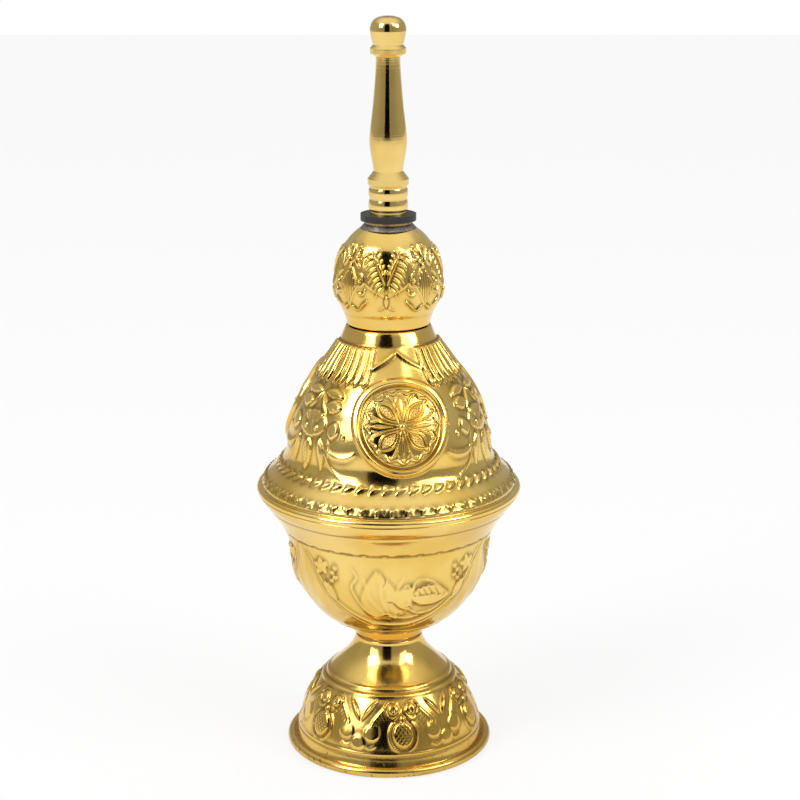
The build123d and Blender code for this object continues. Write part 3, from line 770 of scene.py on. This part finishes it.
def makeBulb():
    wall = smoothLine([(r, h + bulb["base"]) for r, h in bulb["wall"]], firstWay=(0.1, 1), lastWay=(-1, 0.25))
    start = (bulb["foot"][0], bulb["foot"][1] + bulb["base"])
    skin = Skin(np.concatenate([[start], wall]), bulb["step"], bulb["columns"])
    x, y, turn = skin.near(bulb["azimuth"], bulb["level"], 360 / bulb["repeats"])
    ax = np.abs(x)
    mx = np.radians(45 - np.abs(turn)) * skin.radius
    form = np.zeros(x.shape)

    def put(shape):
        return np.maximum(form, shape)

    # pair of feathered leaves that meet in a V
    form = put(leaf(ax, y, (0.2, -7.6), (7.4, 6.4), 8.2, 0.34, sag=-0.8, belly=0.6, edge=0.8))
    form = put(leaf(ax, y, (0.35, -3.2), (4.9, 8.6), 1.9, 1.0, sag=0.35, belly=0.5, edge=0.6))
    for i in range(8):
        t = i / 7
        root = (0.9 + 4.0 * t, -3.6 + 11.0 * t)
        reach = 4.6 - 1.5 * abs(t - 0.4)
        tip = (root[0] + reach * 0.72, root[1] - reach * (0.95 - 0.5 * t))
        middle = ((root[0] + tip[0]) / 2 + 0.3, (root[1] + tip[1]) / 2 + 0.4)
        form += stroke(ax, y, bend(root, middle, tip), 0.55, 0.48)
    for i in range(5):
        root = (1.0 + 0.72 * i, 0.2 + 1.7 * i)
        form += stroke(ax, y, bend(root, (root[0] - 1.0 - 0.12 * i, root[1] + 1.9)), 0.45, 0.38)
    form = put(leaf(x, y, (0, -6.4), (0, -11.2), 1.9, 0.7, belly=0.4, rib=0.2, edge=0.5))
    form += stroke(ax, y, bend((0.7, -10.0), (1.6, -11.2), (3.0, -11.5)), 0.5, 0.35)

    # scrolls beside the leaves
    for curve, width in ((((8.6, 7.6), (10.6, 6.4), (10.7, 3.8), (9.2, 2.4)), 0.95),
                         (((9.6, 1.0), (8.0, -0.4), (8.0, -3.0), (9.8, -3.8)), 0.9),
                         (((7.2, -4.6), (8.2, -6.4), (10.2, -6.0)), 0.8),
                         (((6.2, -8.2), (8.0, -9.8), (9.6, -12.0)), 0.9)):
        form = put(stroke(ax, y, bend(*curve), width, 0.72))
    for spot in ((9.7, 5.0), (9.4, -2.0), (8.9, 9.6)):
        form = put(pellet(ax, y, spot, 0.7, 0.6))

    # hatched lozenge and small leaves on the line between two pairs
    lozenge = 1 - (mx / 3.5 + np.abs(y + 3.4) / 6.4)
    form += 0.34 * smooth(lozenge / 0.12) * (0.7 + 0.5 * np.cos(2 * np.pi * mx / 1.0))
    form += 0.30 * np.exp(-((lozenge + 0.10) * 3.4 / 0.34) ** 2)
    form = put(leaf(mx, y, (0.2, 3.4), (3.3, 9.6), 2.6, 0.75, sag=-0.4, rib=0.15, veins=0.07, edge=0.6))
    form = put(leaf(mx, y, (0.0, 4.2), (0.0, 11.0), 1.8, 0.85, edge=0.5))
    form = put(pellet(mx, y, (0, 2.9), 1.0, 0.75))
    form = put(leaf(mx, y, (0.4, -10.2), (3.6, -12.6), 1.7, 0.5, rib=0.1, edge=0.5))

    form *= skin.between(157.2, 182.2, 1.2)
    form -= ridgeAt(skin.run, skin.runAt(156.0), 1.6, 0.10)
    skin.relief = form + unevenness(skin.azimuth, skin.run, 11, 0.03) * skin.between(152.5, 184, 2)
    piece = sheetPiece("bulb_embossed", skin, inwards(skin.line, bulb["sheet"] + 0.3, 5.0))
    dress(piece, sheetGold)
    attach(piece, "vessel")
    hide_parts("neck_bulb")
    return piece


makeFoot()
makeBowl()
makeDome()
for number in range(dome["medallions"]):
    makeMedallion(number)
print("medallions made")
makeBulb()


# Dull brass, solder, rubber and steel

def dullMaterial(name, look):
    material, bench = newMaterial(name)
    where = bench.add("ShaderNodeTexCoord", output=3)
    patches = bench.noise(where, look["patch"], 4.0, 0.6)
    fine = bench.noise(where, look["grain"], 3.0)
    colour = bench.mixColour(bench.fade(patches, look["from"], look["to"]), look["first"], look["second"])
    roughness = look["roughness"] + (fine - 0.5) * look["roughSpread"]
    finishMaterial(bench, {"Base Color": colour, "Metallic": look["metallic"], "Roughness": roughness},
                   [(fine, 0.0001, look["depth"])])
    return material


tarnishedBrass = dullMaterial("tarnished_brass", {
    "first": (0.42, 0.27, 0.10, 1), "second": (0.10, 0.045, 0.015, 1), "from": 0.50, "to": 0.72,
    "patch": 260.0, "grain": 1500.0, "roughness": 0.34, "roughSpread": 0.25, "depth": 0.3, "metallic": 1.0})
greySolder = dullMaterial("grey_solder", {
    "first": (0.20, 0.185, 0.165, 1), "second": (0.42, 0.38, 0.30, 1), "from": 0.40, "to": 0.75,
    "patch": 420.0, "grain": 1600.0, "roughness": 0.42, "roughSpread": 0.3, "depth": 0.6, "metallic": 1.0})
blackRubber = dullMaterial("black_rubber", {
    "first": (0.010, 0.010, 0.010, 1), "second": (0.022, 0.021, 0.020, 1), "from": 0.3, "to": 0.7,
    "patch": 500.0, "grain": 2600.0, "roughness": 0.48, "roughSpread": 0.16, "depth": 0.25, "metallic": 0.0})
plainSteel = dullMaterial("plain_steel", {
    "first": (0.46, 0.45, 0.43, 1), "second": (0.30, 0.28, 0.26, 1), "from": 0.35, "to": 0.7, "patch": 300.0,
    "grain": 1800.0, "roughness": 0.30, "roughSpread": 0.16, "depth": 0.2, "metallic": 1.0})

finishes = {
    "stem_ferrule": turnedGold, "stem_tube": turnedGold, "spray_head": turnedGold, "spray_plate": turnedGold,
    "neck_bush": tarnishedBrass, "foot_screw": tarnishedBrass,
    "foot_nut": tarnishedBrass, "foot_washer": tarnishedBrass,
    "screw_solder": greySolder, "rim_solder": greySolder,
    "waist_solder": greySolder, "neck_solder": greySolder,
    "seal_washer": blackRubber, "foot_rim_wire": plainSteel, "flange_rim_wire": plainSteel,
    "foot_lock_washer": plainSteel,
}
for nodeName, material in finishes.items():
    dress(cadNodes[nodeName], material)
print("plain pieces dressed")


# Light tent, floor and camera

tent = {
    "window": (-0.12, 0.45, 0.30, 0.72),       # middle right, middle up, half width, half height
    "leftBox": (-1.25, 1.15, 0.50, 0.65), "rightBox": (1.15, 1.35, 0.42, 0.60),
    "boxLight": 2.9, "wall": 0.44, "front": 0.32, "top": 1.0,
    "windowShade": 0.995, "windowSoft": 0.02, "frontFade": (0.1, -0.9), "topFade": (0.45, 0.95),
}
floorLook = {
    "reach": 3.0, "sink": 0.0002, "paint": (0.86, 0.86, 0.86, 1), "cameraGlow": 0.80, "glossyGlow": 0.45,
}
lamps = {
    "key_lamp": {"place": (-0.75, -0.55, 0.95), "size": 0.45, "power": 5.0},
    "side_lamp": {"place": (0.85, -0.35, 0.75), "size": 0.35, "power": 3.0},
}
lampAim = Vector((0, 0, 0.12))


def makeTent():
    world = bpy.data.worlds.new("light_tent")
    bpy.context.scene.world = world
    world.use_nodes = True
    bench = Bench(world.node_tree)
    way = bench.add("ShaderNodeTexCoord", output=0)
    parts = bench.add("ShaderNodeSeparateXYZ", None, {"Vector": way})
    sideways, depth, up = (Wire(bench.tree, parts.socket.node.outputs[i]) for i in range(3))
    forward = bench.add("ShaderNodeMath", {"operation": "MAXIMUM"}, {0: depth * -1.0, 1: 0.02})
    across, rise = sideways / forward, up / forward

    def pane(middleX, middleY, halfX, halfY, soft=0.05):
        offX = bench.add("ShaderNodeMath", {"operation": "ABSOLUTE"}, {0: across - middleX})
        offY = bench.add("ShaderNodeMath", {"operation": "ABSOLUTE"}, {0: rise - middleY})
        return (bench.fade(offX, halfX + soft, halfX - soft) * bench.fade(offY, halfY + soft, halfY - soft)
                * (depth < -0.05))

    facing = bench.fade(depth, *tent["frontFade"])
    level = tent["wall"] + (tent["front"] - tent["wall"]) * facing
    level = level + bench.fade(up, *tent["topFade"]) * (tent["top"] - tent["wall"])
    level = level + (pane(*tent["leftBox"]) + pane(*tent["rightBox"])) * tent["boxLight"]
    level = level * (1 - tent["windowShade"] * pane(*tent["window"], soft=tent["windowSoft"]))
    rays = bench.add("ShaderNodeLightPath").socket.node.outputs
    camera = Wire(bench.tree, rays["Is Camera Ray"])
    strength = level * (1 - camera) + camera
    background = bench.add("ShaderNodeBackground", None, {"Color": (1, 1, 1, 1), "Strength": strength})
    bench.add("ShaderNodeOutputWorld", None, {"Surface": background})


def makeFloor():
    far, low = floorLook["reach"], -floorLook["sink"]
    corners = [(-far, -far, low), (far, -far, low), (far, far, low), (-far, far, low)]
    mesh = bpy.data.meshes.new("floor")
    mesh.from_pydata(corners, [], [(0, 1, 2, 3)])
    floor = bpy.data.objects.new("floor", mesh)
    bpy.context.scene.collection.objects.link(floor)
    material, bench = newMaterial("pale_floor")
    diffuse = bench.add("ShaderNodeBsdfDiffuse", None, {"Color": floorLook["paint"]})
    glow = bench.add("ShaderNodeEmission", None, {"Color": (1, 1, 1, 1), "Strength": 1.0})
    rays = bench.add("ShaderNodeLightPath").socket.node.outputs
    direct, mirrored = (Wire(bench.tree, rays[kind]) for kind in ("Is Camera Ray", "Is Glossy Ray"))
    seen = direct * floorLook["cameraGlow"] + mirrored * floorLook["glossyGlow"]
    both = bench.add("ShaderNodeMixShader", None, {0: seen, 1: diffuse, 2: glow})
    bench.add("ShaderNodeOutputMaterial", None, {"Surface": both})
    dress(floor, material)


def makeLamp(name, place, size, power):
    lamp = bpy.data.lights.new(name, "AREA")
    lamp.size, lamp.energy = size, power
    holder = bpy.data.objects.new(name, lamp)
    holder.location = place
    holder.rotation_mode = "QUATERNION"
    holder.rotation_quaternion = (lampAim - Vector(place)).to_track_quat("-Z", "Y")
    bpy.context.scene.collection.objects.link(holder)


makeTent()
makeFloor()
for lampName, look in lamps.items():
    makeLamp(lampName, **look)
print("tent, floor and lamps made")

view = {"place": (0.0039, -0.6531, 0.3019), "down": 15.2, "lens": 88.875, "sensor": 36.0}
cameraData = bpy.data.cameras.new("camera")
cameraData.lens, cameraData.sensor_width = view["lens"], view["sensor"]
cameraData.clip_start, cameraData.clip_end = 0.01, 20
camera = bpy.data.objects.new("camera", cameraData)
camera.location = view["place"]
camera.rotation_euler = (math.radians(90 - view["down"]), 0, 0)
bpy.context.scene.collection.objects.link(camera)
bpy.context.scene.camera = camera
bpy.context.scene.view_settings.view_transform = "Standard"
